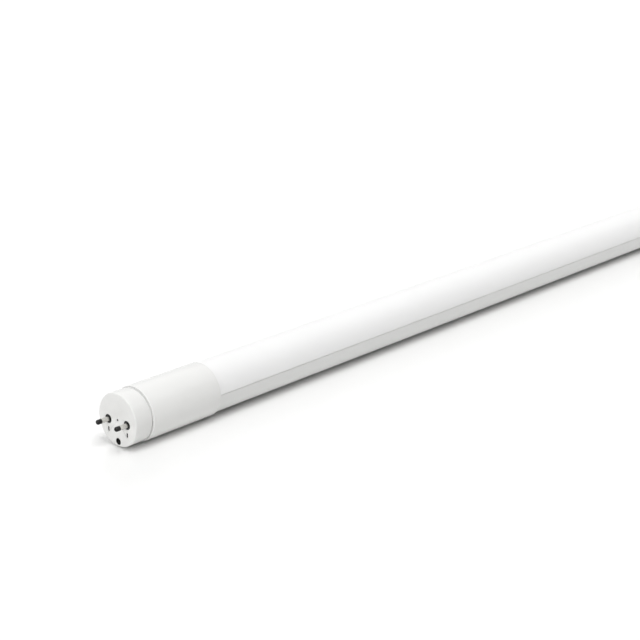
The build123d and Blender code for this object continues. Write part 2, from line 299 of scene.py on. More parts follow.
def mesh_data(mesh, name):
    """Turn a bmesh into mesh data, and free it."""
    data = bpy.data.meshes.new(name)
    mesh.to_mesh(data)
    mesh.free()
    return data


def linked_object(name, data):
    """A new object in the scene."""
    made = bpy.data.objects.new(name, data)
    bpy.context.scene.collection.objects.link(made)
    return made


def check_closed(mesh, name):
    """Merge what meets and turn the faces outwards. An open mesh stops the script."""
    bmesh.ops.remove_doubles(mesh, verts=mesh.verts, dist=TOUCH / 2)
    bmesh.ops.recalc_face_normals(mesh, faces=mesh.faces)
    if not mesh.faces or any(not edge.is_manifold for edge in mesh.edges):
        raise RuntimeError(f"{name} is not a closed mesh")


def make_piece(mesh, carry, name, material, node):
    """Carry a bmesh to its end, and make it a piece that rides on the body and takes the place of a CAD node,
    which it hides.
    """
    carry(mesh)
    check_closed(mesh, name)
    data = mesh_data(mesh, name)
    data.shade_smooth()
    data.set_sharp_from_angle(angle=SHARP_ANGLE)
    data.materials.append(material)
    piece = linked_object(name, data)
    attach(piece, BODY)
    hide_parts(node)


class Finish:
    """The nodes of one material, all on Object coordinates."""

    def __init__(self, name, **sockets):
        self.material = bpy.data.materials.new(name)
        self.material.use_nodes = True
        self.tree = self.material.node_tree
        self.tree.nodes.clear()
        output = self.tree.nodes.new("ShaderNodeOutputMaterial")
        self.shader = self.tree.nodes.new("ShaderNodeBsdfPrincipled")
        self.tree.links.new(self.shader.outputs["BSDF"], output.inputs["Surface"])
        self.object_place = self.tree.nodes.new("ShaderNodeTexCoord").outputs["Object"]
        for socket, value in sockets.items():
            self.set(socket.replace("_", " "), value)

    def add(self, kind, inputs, **settings):
        node = self.tree.nodes.new(kind)
        for key, value in settings.items():
            setattr(node, key, value)
        for key, value in inputs.items():
            self.feed(node.inputs[key], value)
        return node

    def feed(self, socket, value):
        if isinstance(value, bpy.types.NodeSocket):
            self.tree.links.new(value, socket)
        elif socket.type == "RGBA" and len(value) == 3:
            socket.default_value = (*value, 1.0)
        else:
            socket.default_value = value

    def set(self, socket, value):
        self.feed(self.shader.inputs[socket], value)

    def mapped(self, scale=(1, 1, 1), middle=(0, 0, 0)):
        """Object coordinates measured from a middle and stretched."""
        location = tuple(-place * size for place, size in zip(middle, scale))
        mapping = self.add(
            "ShaderNodeMapping", {"Vector": self.object_place, "Location": location, "Scale": scale}
        )
        return mapping.outputs["Vector"]

    def noise(self, grain, detail=3.0, stretch=(1, 1, 1)):
        """Noise with grains of about the given size in metres, longer where stretch is under 1."""
        inputs = {"Vector": self.mapped(stretch), "Scale": 1.0 / grain, "Detail": detail}
        return self.add("ShaderNodeTexNoise", inputs).outputs["Fac"]

    def bands(self, pitch, direction):
        """Fine even rings or lines across the given axis."""
        radians_per_unit = 20.0
        inputs = {"Vector": self.object_place, "Scale": math.tau / (radians_per_unit * pitch)}
        node = self.add("ShaderNodeTexWave", inputs, wave_type="BANDS", bands_direction=direction)
        return node.outputs["Fac"]

    def part(self, axis):
        """One of the X, Y and Z coordinates."""
        return self.add("ShaderNodeSeparateXYZ", {"Vector": self.object_place}).outputs[axis]

    def maths(self, operation, *values):
        node = self.add("ShaderNodeMath", {}, operation=operation)
        for socket, value in zip(node.inputs, values):
            self.feed(socket, value)
        return node.outputs["Value"]

    def scaled(self, value, low, high, first=0.3, last=0.7):
        """Carry a value from first..last to low..high."""
        inputs = {"Value": value, "From Min": first, "From Max": last, "To Min": low, "To Max": high}
        return self.add("ShaderNodeMapRange", inputs, clamp=True).outputs["Result"]

    def mixed(self, factor, first, second):
        """A mix of two colours."""
        node = self.add("ShaderNodeMix", {}, data_type="RGBA")
        self.feed(node.inputs[0], factor)
        self.feed(node.inputs[6], first)
        self.feed(node.inputs[7], second)
        return node.outputs[2]

    def relief(self, height, depth):
        """Raise the surface by the height's value, at most by depth in metres."""
        node = self.add("ShaderNodeBump", {"Height": height, "Distance": depth})
        self.set("Normal", node.outputs["Normal"])


def shade(tint, share):
    """A colour made darker by a share of itself."""
    return tuple(value * (1.0 - share) for value in tint)


def plain_finish(name, tint, roughness, grain, darker=0.06, depth=0.01 * MM, **sockets):
    """A finish whose colour, roughness and surface vary with one fine noise and one broad one."""
    finish = Finish(name, **sockets)
    broad = finish.scaled(finish.noise(40 * grain), 0.0, 1.0)
    fine = finish.noise(grain)
    finish.set("Base Color", finish.mixed(broad, tint, shade(tint, darker)))
    finish.set("Roughness", finish.scaled(fine, roughness * 0.85, roughness * 1.15))
    finish.relief(fine, depth)
    return finish


def moulding_finish(name, colours):
    """Glossy white moulded plastic with a very fine texture."""
    return plain_finish(name, colours.moulding, 0.24, 0.5 * MM, 0.02, 0.004 * MM)


def cap_finish(colours, sizes):
    """The mouldings' plastic, with painted shade: near black within the face's holes and slots, where the
    white plastic lies in shade.
    """
    finish = moulding_finish("glossy_white_cap", colours)
    white = finish.shader.inputs["Base Color"].links[0].from_socket
    side_margin, rear_margin = 0.55 * MM, 1.2 * MM
    shallow, deep = 0.2 * MM, sizes.cap_length - rear_margin
    # Painted shade: 1 from just behind the face to near the groove, within the cap's side wall, so the holes
    # and slots are painted near black
    depth = finish.maths("SUBTRACT", far_face_x, finish.maths("ABSOLUTE", finish.part("X")))
    behind = finish.maths("COMPARE", depth, (shallow + deep) / 2, (deep - shallow) / 2)
    across = finish.mapped((0, 1, 1), (0, 0, axis_height))
    radius = finish.add("ShaderNodeVectorMath", {0: across}, operation="LENGTH").outputs["Value"]
    within = finish.maths("LESS_THAN", radius, sizes.cap_radius - side_margin)
    inside = finish.maths("MULTIPLY", behind, within)
    finish.set("Base Color", finish.mixed(inside, white, colours.opening_painted_shade))
    return finish.material


def diffuser_finish(colours):
    """Frosted plastic that lets light through, with faint lines from its extrusion."""
    tint = colours.diffuser
    finish = Finish("frosted_diffuser", Subsurface_Weight=0.25, Subsurface_Scale=1.5 * MM)
    finish.set("Subsurface Radius", (1.0, 1.0, 0.96))
    lines = finish.noise(0.35 * MM, 2.0, (0.004, 1, 1))
    cloud = finish.scaled(finish.noise(30 * MM), 0.0, 1.0)
    finish.set("Base Color", finish.mixed(cloud, tint, shade(tint, 0.015)))
    finish.set("Roughness", finish.scaled(lines, 0.34, 0.42))
    finish.relief(lines, 0.004 * MM)
    return finish.material


def coating_finish(colours):
    """White paint on the metal extrusion, with a slight orange peel."""
    tint = colours.coating
    finish = Finish("coated_aluminium")
    peel = finish.noise(1.1 * MM, 2.0)
    dust = finish.scaled(finish.noise(0.25 * MM, 4.0), 0.0, 1.0)
    finish.set("Base Color", finish.mixed(dust, tint, shade(tint, 0.03)))
    finish.set("Roughness", finish.scaled(peel, 0.36, 0.46))
    finish.relief(peel, 0.012 * MM)
    return finish.material


def pin_finish(colours, sizes):
    """Plated metal with turned rings, with a painted reflection, where the tip is painted near black for the
    dark surroundings that it mirrors, and painted shade, where the root that leaves its bush is painted near
    black.
    """
    finish = Finish("plated_pin", Specular_IOR_Level=0.2)
    tip_length, tip_fade, root_length = 2.4 * MM, 0.3 * MM, 0.05 * MM
    tip_start = far_face_x + sizes.pin_length - tip_length
    out = finish.maths("ABSOLUTE", finish.part("X"))
    # Painted reflection: the last part of the pin, at its rounded end, is painted near black and not metallic
    tip = finish.scaled(out, 0.0, 1.0, tip_start - tip_fade, tip_start)
    # Painted shade: from just outside the face inwards, where the pin sits in its bush's recess, it is painted
    # near black and not metallic
    root = finish.scaled(out, 1.0, 0.0, far_face_x + root_length, far_face_x + 2 * root_length)
    dark = finish.maths("MAXIMUM", tip, root)
    wear = finish.scaled(finish.noise(0.5 * MM), 0.0, 1.0)
    metal = finish.mixed(wear, colours.pin, shade(colours.pin, 0.12))
    finish.set("Base Color", finish.mixed(dark, metal, colours.pin_painted_dark))
    finish.set("Metallic", finish.scaled(dark, 1.0, 0.0, 0.0, 1.0))
    rings = finish.bands(0.16 * MM, "X")
    finish.set("Roughness", finish.scaled(rings, 0.22, 0.30, 0.0, 1.0))
    finish.relief(rings, 0.002 * MM)
    return finish.material


def other_side(points):
    """The same corners on the other side of the tube."""
    return [(-y, z) for y, z in points]


def height_on(radius, across):
    """How high a circle about the axis stands at a distance across."""
    return math.sqrt(radius**2 - across**2)


def on_circle(radius, degrees):
    """A place on a circle about the axis, by its angle from +Y."""
    return radius * math.cos(math.radians(degrees)), radius * math.sin(math.radians(degrees))


# Hooks that join the two halves, and the slot for the boards: places in the section, from the axis
FOOT_HEIGHT = 1.0 * MM
LEG_THICKNESS = 0.8 * MM
TOE_LENGTH = 0.8 * MM
TOE_THICKNESS = 0.75 * MM
HOOK_GAP = 0.15 * MM
FIT_GAP = 0.1 * MM
SLIDE_GAP = 0.05 * MM
PLATE_THICKNESS = 1.2 * MM
RAIL_THICKNESS = 0.8 * MM
RAIL_LIP_THICKNESS = 0.7 * MM
RAIL_TOP = -0.55 * MM
BOARD_LIP_REACH = 0.8 * MM
BOARD_LIP_THICKNESS = 0.6 * MM
PORT_WALL = 1.0 * MM
PORT_HALF_SLOT = 0.6 * MM
SCREW_RADIUS = 1.1 * MM
rail_lip_bottom = RAIL_TOP - RAIL_LIP_THICKNESS
toe_top = rail_lip_bottom - HOOK_GAP
toe_bottom = toe_top - TOE_THICKNESS
board_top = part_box("led_board")[1].z - axis_height
plate_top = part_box("thermal_tape")[0].z - axis_height
plate_bottom = plate_top - PLATE_THICKNESS


def hook_places(sizes):
    """Distances across the section: the leg's two sides, the toe's tip and the rail's outside."""
    bore = sizes.heat_sink_radius - sizes.heat_sink_wall
    leg_outer = height_on(bore, toe_bottom) - FIT_GAP
    leg_inner = leg_outer - LEG_THICKNESS
    toe_tip = leg_inner - TOE_LENGTH
    return leg_outer, leg_inner, toe_tip, toe_tip - HOOK_GAP


def lip_arc(radius, rounding, edge):
    """The rounded corner between a circle and a level edge: its centre, and the angle that it turns."""
    centre_z = edge + rounding if edge >= 0 else edge - rounding
    centre_y = height_on(radius - rounding, centre_z)
    turn = 90.0 + math.degrees(math.atan2(abs(centre_z), centre_y))
    return (centre_y, centre_z), turn


def diffuser_mesh(sizes):
    radius = sizes.diffuser_radius
    bore = radius - sizes.diffuser_wall
    leg_outer, leg_inner, toe_tip, _ = hook_places(sizes)
    (lip_y, lip_z), turn = lip_arc(radius, sizes.lip_rounding, 0.0)
    outer_turn = 180.0 - 2.0 * (turn - 90.0)
    foot_angle = math.degrees(math.asin(FOOT_HEIGHT / bore))
    foot = [
        (height_on(bore, FOOT_HEIGHT), FOOT_HEIGHT),
        (leg_inner, FOOT_HEIGHT),
        (leg_inner, toe_top),
        (toe_tip, toe_top),
        (toe_tip, toe_bottom),
        (leg_outer, toe_bottom),
        (leg_outer, 0.0),
        (lip_y, 0.0),
    ]
    mesh = bmesh.new()
    pen = section_pen(mesh, (lip_y, 0.0))
    pen.arc((lip_y, lip_z), turn).arc((0, 0), outer_turn, ROUND_STEPS).arc((-lip_y, lip_z), turn)
    pen.line(*other_side(foot[-2::-1])).arc((0, 0), -(180.0 - 2.0 * foot_angle), ROUND_STEPS)
    pen.line(*foot[1:]).close()
    extrude_wires(mesh, profile_start, profile_length)
    return mesh


def heat_sink_mesh(sizes, cap_sizes):
    radius = sizes.heat_sink_radius
    bore = radius - sizes.heat_sink_wall
    edge = -sizes.seam_gap
    leg_outer, leg_inner, toe_tip, rail_outer = hook_places(sizes)
    rail_inner = rail_outer - RAIL_THICKNESS
    rail_tip = leg_inner - HOOK_GAP
    lip_tip = rail_inner - BOARD_LIP_REACH
    lip_low = board_top + FIT_GAP
    lip_high = lip_low + BOARD_LIP_THICKNESS
    (lip_y, lip_z), turn = lip_arc(radius, sizes.edge_rounding, edge)
    wall_top = (height_on(bore, edge), edge)
    wall_angle = math.degrees(math.asin(-edge / bore))
    plate_angle = math.degrees(math.asin(-plate_top / bore))
    rail = [
        (height_on(bore, plate_top), plate_top),
        (rail_outer, plate_top),
        (rail_outer, rail_lip_bottom),
        (rail_tip, rail_lip_bottom),
        (rail_tip, RAIL_TOP),
        (rail_inner, RAIL_TOP),
        (rail_inner, lip_high),
        (lip_tip, lip_high),
        (lip_tip, lip_low),
        (rail_inner, lip_low),
        (rail_inner, plate_top),
    ]
    mesh = bmesh.new()
    pen = section_pen(mesh, (lip_y, edge))
    pen.arc((lip_y, lip_z), -turn).arc((0, 0), -(180.0 - 2.0 * (turn - 90.0)), ROUND_STEPS)
    pen.arc((-lip_y, lip_z), -turn).line((-wall_top[0], edge))
    pen.arc((0, 0), plate_angle - wall_angle, CORNER_STEPS).line(*other_side(rail[1:]))
    pen.line(*rail[::-1]).arc((0, 0), plate_angle - wall_angle, CORNER_STEPS).line((lip_y, edge)).close()
    draw_chamber(mesh, bore, -cap_sizes.screw_drop)
    extrude_wires(mesh, profile_start, profile_length)
    return mesh


def draw_chamber(mesh, bore, port_z):
    """The closed chamber under the plate, with the open screw port at its bottom."""
    port_bore = SCREW_RADIUS + SLIDE_GAP
    port_radius = port_bore + PORT_WALL
    meet_z = (bore**2 - port_radius**2 + port_z**2) / (2.0 * port_z)
    meet_y = height_on(bore, meet_z)
    chamber_y = height_on(bore, plate_bottom)
    meet_angle = math.degrees(math.atan2(meet_y, -meet_z))
    chamber_turn = meet_angle - math.degrees(math.atan2(chamber_y, -plate_bottom))
    slot_outside = math.degrees(math.asin(PORT_HALF_SLOT / port_radius))
    slot_inside = math.degrees(math.asin(PORT_HALF_SLOT / port_bore))
    port_turn = 180.0 - math.degrees(math.atan2(meet_y, port_z - meet_z)) - slot_outside
    slot_floor = port_z + height_on(port_bore, PORT_HALF_SLOT)
    slot_mouth = port_z + height_on(port_radius, PORT_HALF_SLOT)
    pen = section_pen(mesh, (chamber_y, plate_bottom)).arc((0, 0), chamber_turn, ROUND_STEPS // 3)
    pen.arc((0, port_z), port_turn, SMALL_ROUND_STEPS // 2)
    pen.line((PORT_HALF_SLOT, slot_floor)).arc((0, port_z), -(360.0 - 2.0 * slot_inside), SMALL_ROUND_STEPS)
    pen.line((-PORT_HALF_SLOT, slot_mouth)).arc((0, port_z), port_turn, SMALL_ROUND_STEPS // 2)
    pen.arc((0, 0), chamber_turn, ROUND_STEPS // 3).line((chamber_y, plate_bottom)).close()


# Cap interior and fastenings
NECK_DEPTH = 0.85 * MM
NECK_OVERLAP = 2.0 * MM
PLUG_LENGTH = 6.0 * MM
PLUG_WALL = 1.2 * MM
PLUG_UPPER_ANGLE = 25.0
PLUG_LOWER_TOP = 29.0
PLUG_LOWER_BOTTOM = 66.0
SUPPORT = 0.15 * MM
OVERSHOOT = 1.0 * MM
HOLE_ROUNDING = 0.12 * MM
MOUTH_ANGLE = math.radians(60)
VENT_WIDTH = 0.9 * MM
VENT_HEIGHT = 2.4 * MM
VENT_DROP = 5.8 * MM
DIMPLE_RADIUS = 0.6 * MM
DIMPLE_DEPTH = 0.25 * MM
SCREW_LENGTH = 19.0 * MM
SCREW_HEAD_RADIUS = 1.5 * MM
SCREW_HEAD_HEIGHT = 1.5 * MM
SCREW_HEAD_ROUNDING = 0.35 * MM
SCREW_RECESS = 0.9 * MM
SCREW_SEAT = SCREW_RECESS + SCREW_HEAD_HEIGHT
SCREW_CROSS_WIDTH = 0.5 * MM
SCREW_CROSS_LENGTH = 1.8 * MM
SCREW_CROSS_DEPTH = 0.8 * MM
SCREW_CROSS_CORNERS = 12
SCREW_HOLE_GAP = 0.15 * MM
BUSH_RADIUS = 2.1 * MM
BUSH_RECESS = 0.35 * MM
BUSH_FLANGE_RADIUS = 2.8 * MM
BUSH_FLANGE_THICKNESS = 1.0 * MM
BUSH_ROUNDING = 0.08 * MM
PIN_ROOT_RADIUS = 1.35 * MM
PIN_DIMPLE_RADIUS = 0.35 * MM
PIN_DIMPLE_DEPTH = 0.5 * MM
PIN_COLLAR_RADIUS = 1.9 * MM
PIN_COLLAR_THICKNESS = 0.8 * MM
PIN_TAIL = 8.0 * MM
PIN_TAIL_RADIUS = 1.0 * MM
PIN_BORE_DEPTH = 2.0 * MM
PIN_BORE_RADIUS = 0.65 * MM


def rod_mesh(radius, start, length, side=0.0, height=0.0, steps=SMALL_ROUND_STEPS):
    """A closed round bar along X."""
    mesh = bmesh.new()
    end = start + length
    profile_pen(mesh, (start, 0.0)).line((start, radius), (end, radius), (end, 0.0))
    revolve(mesh, height, side, steps)
    bmesh.ops.recalc_face_normals(mesh, faces=mesh.faces)
    return mesh


def band_mesh(outer, inner, first, last, start, length):
    """A closed part of a ring, between two angles in degrees from +Y."""
    mesh = bmesh.new()
    steps = max(CORNER_STEPS, round(abs(last - first) / 360.0 * ROUND_STEPS))
    pen = section_pen(mesh, on_circle(outer, first))
    pen.arc((0, 0), last - first, steps).line(on_circle(inner, last))
    pen.arc((0, 0), first - last, steps).line(on_circle(outer, first)).close()
    extrude_wires(mesh, start, length)
    bmesh.ops.recalc_face_normals(mesh, faces=mesh.faces)
    return mesh


def vent_mesh(side, thickness):
    """A cutter for one upright slot with round ends."""
    mesh = bmesh.new()
    half, reach = VENT_WIDTH / 2, (VENT_HEIGHT - VENT_WIDTH) / 2
    pen = section_pen(mesh, (side + half, reach - VENT_DROP)).arc((side, reach - VENT_DROP), 180.0)
    pen.line((side - half, -reach - VENT_DROP)).arc((side, -reach - VENT_DROP), 180.0)
    pen.line((side + half, reach - VENT_DROP)).close()
    extrude_wires(mesh, -OVERSHOOT, thickness + 2 * OVERSHOOT)
    bmesh.ops.recalc_face_normals(mesh, faces=mesh.faces)
    return mesh


def combined(mesh, steps):
    """A mesh joined with other meshes, or cut by them, in order."""
    base = linked_object("base", mesh_data(mesh, "base"))
    tools = []
    for operation, tool in steps:
        tools.append(linked_object("tool", mesh_data(tool, "tool")))
        modifier = base.modifiers.new("step", "BOOLEAN")
        modifier.operation = operation
        modifier.solver = "MANIFOLD"
        modifier.object = tools[-1]
    bpy.context.view_layer.update()
    evaluated = base.evaluated_get(bpy.context.evaluated_depsgraph_get())
    result = bmesh.new()
    result.from_mesh(evaluated.to_mesh())
    evaluated.to_mesh_clear()
    for used in [base, *tools]:
        data = used.data
        bpy.data.objects.remove(used)
        bpy.data.meshes.remove(data)
    return result


def cap_mesh(sizes, cap_sizes):
    radius, length, rounding = cap_sizes.cap_radius, cap_sizes.cap_length, cap_sizes.face_rounding
    rear = cap_sizes.rear_rounding
    thickness = cap_sizes.face_thickness
    neck_radius = radius - NECK_DEPTH
    bore = radius - cap_sizes.cap_wall
    plug_radius = sizes.diffuser_radius - sizes.diffuser_wall - FIT_GAP
    plug_bore = plug_radius - PLUG_WALL
    lower_radius = sizes.heat_sink_radius - sizes.heat_sink_wall - FIT_GAP
    lower_bore = lower_radius - PLUG_WALL
    plug_start = length - NECK_OVERLAP
    plug_length = profile_start + PLUG_LENGTH - plug_start
    mesh = bmesh.new()
    pen = profile_pen(mesh, (0.0, 0.0))
    pen.line((0.0, radius - rounding - SUPPORT), (0.0, radius - rounding))
    pen.arc((rounding, radius - rounding), -90.0)
    pen.line((length - rear, radius)).arc((length - rear, radius - rear), -90.0)
    pen.line((length, neck_radius), (profile_start, neck_radius), (profile_start, plug_bore))
    pen.line((plug_start, plug_bore), (plug_start, bore), (thickness, bore), (thickness, 0.0))
    revolve(mesh)
    bmesh.ops.recalc_face_normals(mesh, faces=mesh.faces)

    drop = cap_sizes.screw_drop
    boss = rod_mesh(
        SCREW_RADIUS + SLIDE_GAP + PORT_WALL, thickness / 2, profile_start - thickness / 2, height=-drop
    )
    boss_limit = rod_mesh(neck_radius, 0.0, 2 * profile_start, steps=ROUND_STEPS)
    boss = combined(boss, [("INTERSECT", boss_limit)])
    plug_bands = (
        (plug_radius, plug_bore, PLUG_UPPER_ANGLE, 180 - PLUG_UPPER_ANGLE),
        (lower_radius, lower_bore, -PLUG_LOWER_BOTTOM, -PLUG_LOWER_TOP),
        (lower_radius, lower_bore, PLUG_LOWER_TOP - 180, PLUG_LOWER_BOTTOM - 180),
    )
    plugs = [band_mesh(*band, plug_start, plug_length) for band in plug_bands]
    through = thickness + 2 * OVERSHOOT
    cuts = [
        rod_mesh(DIMPLE_RADIUS, -OVERSHOOT, DIMPLE_DEPTH + OVERSHOOT),
        rod_mesh(SCREW_HEAD_RADIUS + SCREW_HOLE_GAP, -OVERSHOOT, SCREW_SEAT + OVERSHOOT, height=-drop),
        rod_mesh(SCREW_RADIUS + SCREW_HOLE_GAP, 0.0, 2 * profile_start, height=-drop),
    ]
    for side in (-cap_sizes.pin_offset, cap_sizes.pin_offset):
        cuts.append(rod_mesh(BUSH_RADIUS + SLIDE_GAP, -OVERSHOOT, through, side, -cap_sizes.pin_drop))
        cuts.append(vent_mesh(side, thickness))
    steps = [("UNION", solid) for solid in [boss, *plugs]] + [("DIFFERENCE", solid) for solid in cuts]
    mesh = combined(mesh, steps)
    bmesh.ops.remove_doubles(mesh, verts=mesh.verts, dist=TOUCH)
    round_hole_mouths(mesh)
    return mesh


def round_hole_mouths(mesh):
    """Round the edges where the holes meet the cap's face."""
    mouths = [edge for edge in edges_at(mesh, 0.0) if edge.calc_face_angle(0.0) > MOUTH_ANGLE]
    bmesh.ops.bevel(
        mesh,
        geom=mouths,
        offset=HOLE_ROUNDING,
        offset_type="OFFSET",
        segments=3,
        profile=0.5,
        affect="EDGES",
        material=-1,
    )


def sleeve_mesh(sizes):
    radius = sizes.sleeve_radius
    front, rear = sizes.sleeve_front_rounding, sizes.sleeve_rear_rounding
    start, end = profile_start, profile_start + sizes.sleeve_length
    upper = sizes.diffuser_radius + SLIDE_GAP
    lower = sizes.heat_sink_radius + SLIDE_GAP
    step = -sizes.seam_gap / 2
    mesh = bmesh.new()
    pen = profile_pen(mesh, (start, radius - front)).arc((start + front, radius - front), -90.0)
    pen.line((end - rear, radius)).arc((end - rear, radius - rear), -90.0)
    revolve(mesh)
    bore = bmesh.new()
    upper_angle = math.degrees(math.asin(-step / upper))
    lower_angle = math.degrees(math.asin(-step / lower))
    upper_side = (height_on(upper, step), step)
    pen = section_pen(bore, upper_side).arc((0, 0), 180.0 + 2.0 * upper_angle, ROUND_STEPS)
    pen.line((-height_on(lower, step), step)).arc((0, 0), 180.0 - 2.0 * lower_angle, ROUND_STEPS)
    pen.line(upper_side).close()
    extrude_wires(bore, start, sizes.sleeve_length, filled=False)
    merge_in(mesh, bore)
    fill_open(mesh, start)
    fill_open(mesh, end)
    return mesh


def pin_mesh(cap_sizes, side):
    radius, length, rounding = cap_sizes.pin_radius, cap_sizes.pin_length, cap_sizes.pin_rounding
    flat = radius - rounding
    dimple_angle = math.asin((PIN_DIMPLE_RADIUS - flat) / rounding)
    dimple_x = rounding - length - rounding * math.cos(dimple_angle)
    dimple_floor = PIN_DIMPLE_DEPTH - length
    collar_start = cap_sizes.face_thickness + BUSH_FLANGE_THICKNESS
    collar_end = collar_start + PIN_COLLAR_THICKNESS
    mesh = bmesh.new()
    pen = profile_pen(mesh, (dimple_floor, 0.0))
    pen.line((dimple_floor, PIN_DIMPLE_RADIUS), (dimple_x, PIN_DIMPLE_RADIUS))
    pen.arc((rounding - length, flat), math.degrees(dimple_angle) - 90.0, 2 * CORNER_STEPS)
    pen.line((0.0, radius), (0.0, PIN_ROOT_RADIUS), (collar_start, PIN_ROOT_RADIUS))
    pen.line((collar_start, PIN_COLLAR_RADIUS), (collar_end, PIN_COLLAR_RADIUS))
    pen.line((collar_end, PIN_TAIL_RADIUS), (PIN_TAIL, PIN_TAIL_RADIUS), (PIN_TAIL, PIN_BORE_RADIUS))
    pen.line((PIN_TAIL - PIN_BORE_DEPTH, PIN_BORE_RADIUS), (PIN_TAIL - PIN_BORE_DEPTH, 0.0))
    revolve(mesh, -cap_sizes.pin_drop, side * cap_sizes.pin_offset, SMALL_ROUND_STEPS)
    return mesh


def bush_mesh(cap_sizes, side):
    thickness = cap_sizes.face_thickness
    flange_end = thickness + BUSH_FLANGE_THICKNESS
    hole = PIN_ROOT_RADIUS + SLIDE_GAP / 2
    mesh = bmesh.new()
    pen = profile_pen(mesh, (BUSH_RECESS, hole)).line((BUSH_RECESS, BUSH_RADIUS - BUSH_ROUNDING))
    pen.arc((BUSH_RECESS + BUSH_ROUNDING, BUSH_RADIUS - BUSH_ROUNDING), -90.0, 3)
    pen.line((thickness, BUSH_RADIUS), (thickness, BUSH_FLANGE_RADIUS), (flange_end, BUSH_FLANGE_RADIUS))
    pen.line((flange_end, hole), (BUSH_RECESS, hole)).close()
    revolve(mesh, -cap_sizes.pin_drop, side * cap_sizes.pin_offset, SMALL_ROUND_STEPS)
    return mesh


def screw_mesh(cap_sizes):
    rim = SCREW_HEAD_RADIUS - SCREW_HEAD_ROUNDING
    middle, tip = -cap_sizes.screw_drop, SCREW_SEAT + SCREW_LENGTH
    mesh = bmesh.new()
    pen = profile_pen(mesh, (SCREW_RECESS, rim)).arc((SCREW_RECESS + SCREW_HEAD_ROUNDING, rim), -90.0)
    pen.line((SCREW_SEAT, SCREW_HEAD_RADIUS), (SCREW_SEAT, SCREW_RADIUS), (tip, SCREW_RADIUS), (tip, 0.0))
    revolve(mesh, height=middle, steps=SMALL_ROUND_STEPS)
    cross = bmesh.new()
    wide, long = SCREW_CROSS_WIDTH / 2, SCREW_CROSS_LENGTH / 2
    corners = [(long, -wide), (long, wide), (wide, wide)]
    while len(corners) < SCREW_CROSS_CORNERS:
        across, up = corners[-3]
        corners.append((-up, across))
    corners = [(across, middle + up) for across, up in corners]
    section_pen(cross, corners[0]).line(*corners[1:], corners[0]).close()
    extrude_wires(cross, SCREW_RECESS, SCREW_CROSS_DEPTH, filled=False)
    fill_open(cross, SCREW_RECESS + SCREW_CROSS_DEPTH)
    merge_in(mesh, cross)
    fill_open(mesh, SCREW_RECESS)
    return mesh


def bush_finish(colours):
    """Black insulating plastic."""
    return plain_finish("black_bush", colours.bush, 0.45, 0.3 * MM, 0.2).material


def screw_finish(colours):
    """Dull plated steel with fine scratches."""
    finish = Finish("cap_screw_steel", Metallic=1.0)
    scratches = finish.noise(0.12 * MM, 4.0, (1, 1, 0.2))
    tint = colours.screw
    finish.set("Base Color", finish.mixed(finish.scaled(scratches, 0.0, 1.0), tint, shade(tint, 0.25)))
    finish.set("Roughness", finish.scaled(scratches, 0.35, 0.5))
    finish.relief(scratches, 0.004 * MM)
    return finish.material


MOULDED_PARTS = ("bridge_rectifier", "driver_chip", "output_diode", "resistors")

# Pieces inside the tube that keep their imported shape: nodes, material name, colour, roughness and grain
INNER_PIECES = (
    (("thermal_tape",), "grey_tape", (0.42, 0.42, 0.43), 0.8, 0.3 * MM),
    (("driver_film",), "amber_film", (0.55, 0.24, 0.04), 0.25, 2.0 * MM),
    (MOULDED_PARTS, "black_mould", (0.03,) * 3, 0.6, 0.1 * MM),
    (("fuse",), "fuse_green", (0.10, 0.28, 0.13), 0.3, 0.6 * MM),
    (("film_capacitor",), "film_yellow", (0.70, 0.44, 0.04), 0.3, 0.6 * MM),
    (("varistor",), "varistor_blue", (0.03, 0.10, 0.33), 0.35, 0.5 * MM),
    (("filter_choke", "transformer_core"), "ferrite", (0.06, 0.06, 0.06), 0.7, 0.2 * MM),
    (("input_lead_left", "led_jumper_left", "far_link"), "lead_white", (0.78, 0.78, 0.76), 0.45, 0.4 * MM),
    (("input_lead_right", "led_jumper_right"), "lead_black", (0.03,) * 3, 0.45, 0.4 * MM),
)


def dress(node, material):
    """Give a CAD node that stays its material."""
    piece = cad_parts[node]
    piece.data.materials.clear()
    piece.data.materials.append(material)


def led_board_finish():
    """White solder mask over two copper tracks that show faintly."""
    finish = Finish("led_board_mask")
    white, over_copper = (0.82, 0.82, 0.80), (0.76, 0.76, 0.73)
    track_middle, track_half = 4.5 * MM, 1.6 * MM
    across = finish.maths("ABSOLUTE", finish.part("Y"))
    off = finish.maths("ABSOLUTE", finish.maths("SUBTRACT", across, track_middle))
    track = finish.scaled(off, 1.0, 0.0, track_half, track_half + 0.1 * MM)
    grain = finish.noise(0.2 * MM)
    finish.set("Base Color", finish.mixed(track, white, over_copper))
    finish.set("Roughness", finish.scaled(grain, 0.3, 0.4))
    finish.relief(finish.maths("ADD", finish.maths("MULTIPLY", grain, 0.2), track), 0.035 * MM)
    return finish.material


def driver_board_finish():
    """Green solder mask with tracks."""
    finish = Finish("driver_board_mask")
    pattern_scale, line_width = 180.0, 0.01
    inputs = {"Vector": finish.object_place, "Scale": pattern_scale, "Mortar Size": line_width}
    cells = finish.add("ShaderNodeTexBrick", inputs).outputs["Fac"]
    grain = finish.noise(0.2 * MM)
    finish.set("Base Color", finish.mixed(cells, (0.02, 0.16, 0.06), (0.05, 0.26, 0.10)))
    finish.set("Roughness", finish.scaled(grain, 0.28, 0.38))
    finish.relief(cells, 0.03 * MM)
    return finish.material


def chip_finish(pitch, window):
    """White chip bodies with a phosphor window in the middle of each."""
    finish = Finish("led_chip")
    along, across = finish.maths("PINGPONG", finish.part("X"), pitch / 2), finish.part("Y")
    squares = [finish.maths("MULTIPLY", value, value) for value in (along, across)]
    reach = finish.maths("SQRT", finish.maths("ADD", *squares))
    phosphor = finish.scaled(reach, 1.0, 0.0, window - 0.05 * MM, window)
    grain = finish.noise(0.1 * MM)
    finish.set("Base Color", finish.mixed(phosphor, (0.80, 0.80, 0.76), (0.85, 0.70, 0.16)))
    finish.set("Roughness", finish.scaled(grain, 0.3, 0.5))
    finish.relief(grain, 0.01 * MM)
    return finish.material


